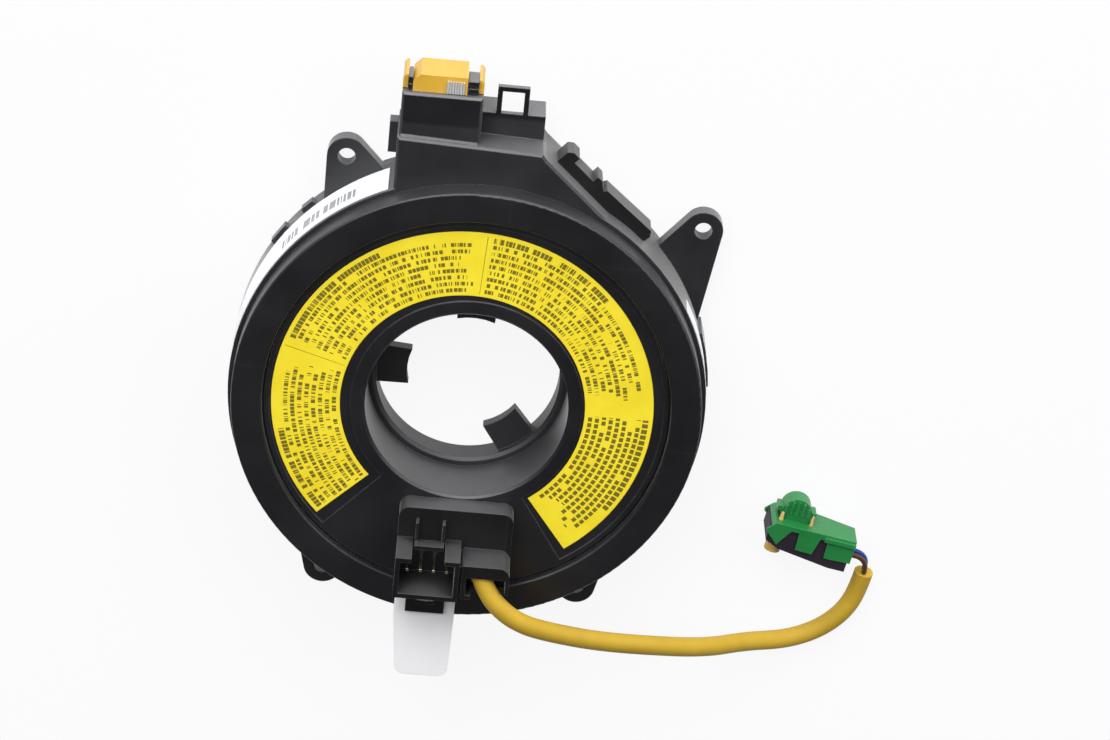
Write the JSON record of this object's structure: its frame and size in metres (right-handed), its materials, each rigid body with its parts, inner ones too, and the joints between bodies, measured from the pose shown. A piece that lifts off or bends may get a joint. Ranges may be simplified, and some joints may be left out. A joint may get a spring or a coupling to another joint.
{
  "type": "steering clock spring",
  "caption": "Round steering clock spring with a turning centre, screw ears, connector block, pull-out lock tab and a short sheathed lead ending in a small plug.",
  "frame": {"origin": "on the steering axis in the plane of the back plate, which the part lies on", "axes": "+Z along the steering axis out of the rotor's face, +Y towards the stator's connectors, +X to the right seen from the front"},
  "size_m": [0.1521, 0.1438, 0.038],
  "materials": {
    "case_black": "satin",
    "rotor_black": "satin",
    "cam_black": "matt",
    "header_amber": "satin, slightly clear",
    "rail_black": "satin",
    "pin_metal": "bright",
    "clip_metal": "satin",
    "label_yellow": "satin",
    "label_white": "satin",
    "film_clear": "satin",
    "ribbon_film": "satin",
    "tab_white": "satin",
    "sleeve_mustard": "satin",
    "wire_brown": "satin",
    "wire_blue": "satin",
    "plug_dark": "satin",
    "plug_green": "satin",
    "plug_cream": "satin"
  },
  "bodies": {
    "stator": {"rear_plate": "case_black", "stator_housing": "case_black", "front_cover": "case_black", "flank_cover": "case_black", "header_shell": "header_amber", "header_pins": "pin_metal", "header_rails": "rail_black", "shorting_clip": "clip_metal", "socket_pins": "pin_metal", "long_side_label": "label_white", "short_side_label": "label_white", "ribbon_coil": "ribbon_film", "rear_slip_sheet": "film_clear"},
    "rotor": {"rotor_hub": "rotor_black", "cancel_cam_ring": "cam_black", "lead_block": "rotor_black", "lead_pins": "pin_metal", "face_label": "label_yellow", "front_slip_sheet": "film_clear", "cable_sleeve": "sleeve_mustard", "brown_wire": "wire_brown", "blue_wire": "wire_blue", "plug_body": "plug_dark", "plug_shell": "plug_green", "plug_nose": "plug_cream"},
    "tab": {"lock_tab": "tab_white"},
    "grip": {"plug_grip": "plug_green"}
  },
  "joints": [
    {"name": "rotor_spin", "type": "hinge", "parent": "stator", "child": "rotor", "pos_m": [0, 0, 0.015], "axis": [0, 0, 1], "range_deg": [-900, 900]},
    {"name": "tab_pull", "type": "slide", "parent": "rotor", "child": "tab", "axis": [0, -1, 0], "range_m": [0, 0.025]},
    {"name": "grip_press", "type": "slide", "parent": "rotor", "child": "grip", "axis": [-0.1736, -0.9848, 0], "range_m": [0, 0.001], "stiffness_N_per_m": 400}
  ]
}
